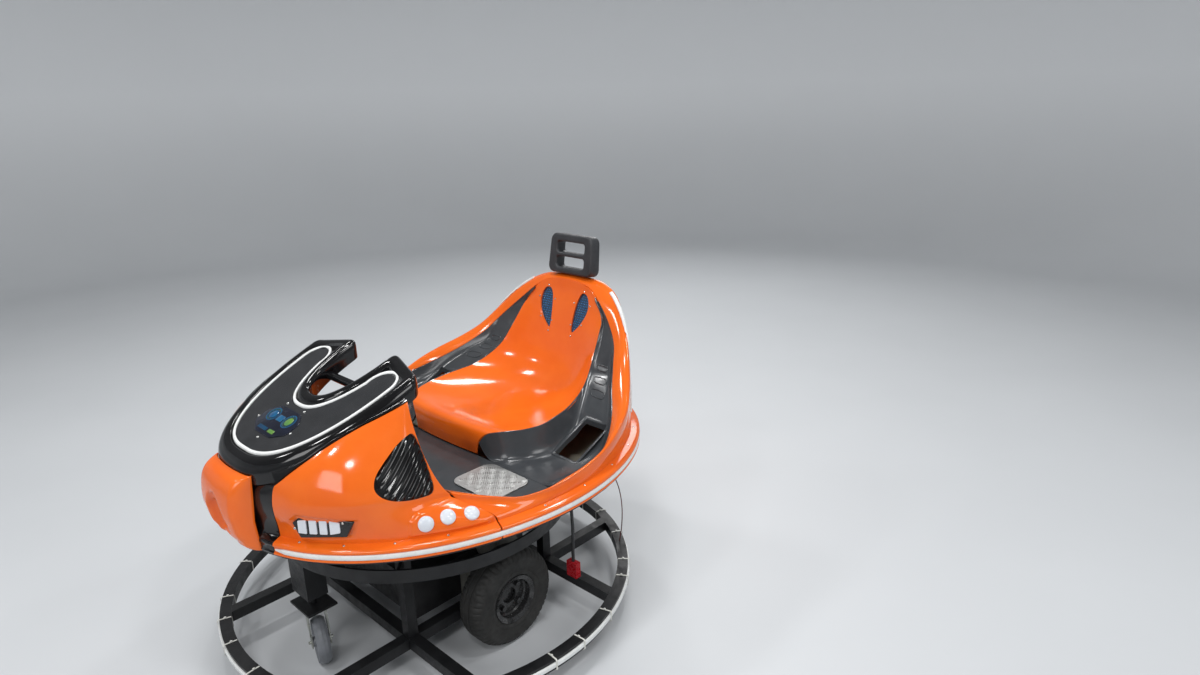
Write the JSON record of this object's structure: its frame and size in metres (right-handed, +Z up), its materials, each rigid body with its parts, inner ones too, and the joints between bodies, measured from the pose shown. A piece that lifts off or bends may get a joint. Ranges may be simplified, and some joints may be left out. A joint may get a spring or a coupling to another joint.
{
  "type": "bumper car",
  "caption": "Round-based bumper car: orange glass-fibre body with bucket seat and horseshoe console on a steel ring chassis with two drive wheels and two casters.",
  "frame": {"origin": "on the floor under the middle of the car's overall footprint", "axes": "+X towards the nose, +Y towards the driver's left, +Z up"},
  "size_m": [1.289, 1.168, 0.9759],
  "materials": {
    "black_steel": "satin black powder coat",
    "light_strip": "white silicone light strip",
    "black_plastic": "matt black case",
    "motor_grey": "grey painted casting",
    "raw_fibreglass": "unpainted glass fibre",
    "orange_gelcoat": "gloss orange gel coat with fine flake",
    "black_gelcoat": "gloss black gel coat with fine flake",
    "grey_gelcoat": "gloss dark grey with flake",
    "display_glass": "dark display window",
    "black_rubber": "rubber grip",
    "vent_mesh": "dark woven mesh",
    "moulded_foam": "moulded grey foam skin",
    "grey_liner": "grey metallic gel coat",
    "tread_plate": "bright checker plate",
    "lamp_bezel": "black bezel with white lenses",
    "lamp_lens": "white lens",
    "cable_black": "black cable sheath",
    "plug_red": "red connector housing",
    "wire_red": "red and black twin wire",
    "tyre": "scuffed black tyre",
    "zinc_steel": "zinc-plated pressing",
    "grey_rubber": "grey caster tread"
  },
  "bodies": {
    "car": {"ring": "black_steel", "ring_light": "light_strip", "base_frame": "black_steel", "corner_posts": "black_steel", "hoop": "black_steel", "upper_frame": "black_steel", "front_mast": "black_steel", "rear_mast": "black_steel", "battery_box": "black_plastic", "controller": "black_plastic", "motor_left": "motor_grey", "motor_right": "motor_grey", "belly_pan": "raw_fibreglass", "rear_shell": "orange_gelcoat", "hood_left": "orange_gelcoat", "hood_right": "orange_gelcoat", "front_panel": "black_gelcoat", "hood_bands": "black_gelcoat", "nose_block": "orange_gelcoat", "console": "black_gelcoat", "console_face": "grey_gelcoat", "console_lights": "light_strip", "display": "display_glass", "grab_bar": "black_rubber", "seat": "orange_gelcoat", "seat_vents": "vent_mesh", "headrest": "moulded_foam", "liner_left": "grey_liner", "liner_right": "grey_liner", "floor_pan": "grey_liner", "floor_plates": "tread_plate", "grilles": "black_gelcoat", "headlamps": "lamp_bezel", "side_lamps": "lamp_lens", "flange_light": "light_strip", "rim_lights": "light_strip", "lead_gland": "black_plastic", "charge_lead": "cable_black", "charge_plug": "plug_red", "ring_feed": "wire_red"},
    "wheel_left": {"tyre_left": "tyre", "rim_left": "black_steel"},
    "wheel_right": {"tyre_right": "tyre", "rim_right": "black_steel"},
    "front_fork": {"front_fork": "zinc_steel"},
    "front_wheel": {"front_caster_wheel": "grey_rubber"},
    "rear_fork": {"rear_fork": "zinc_steel"},
    "rear_wheel": {"rear_caster_wheel": "grey_rubber"}
  },
  "joints": [
    {"name": "spin_left", "type": "hinge", "parent": "car", "child": "wheel_left", "pos_m": [0.0605, 0.333, 0.133], "axis": [0, 1, 0], "continuous": true},
    {"name": "spin_right", "type": "hinge", "parent": "car", "child": "wheel_right", "pos_m": [0.0605, -0.333, 0.133], "axis": [0, 1, 0], "continuous": true},
    {"name": "front_swivel", "type": "hinge", "parent": "car", "child": "front_fork", "pos_m": [0.4325, 0, 0.1], "axis": [0, 0, 1], "continuous": true},
    {"name": "front_spin", "type": "hinge", "parent": "front_fork", "child": "front_wheel", "pos_m": [0.44486, 0.03804, 0.0625], "axis": [-0.9511, 0.309, 0], "continuous": true},
    {"name": "rear_swivel", "type": "hinge", "parent": "car", "child": "rear_fork", "pos_m": [-0.3115, 0, 0.1], "axis": [0, 0, 1], "continuous": true},
    {"name": "rear_spin", "type": "hinge", "parent": "rear_fork", "child": "rear_wheel", "pos_m": [-0.34859, 0.01498, 0.0625], "axis": [-0.3746, -0.9272, 0], "continuous": true}
  ]
}
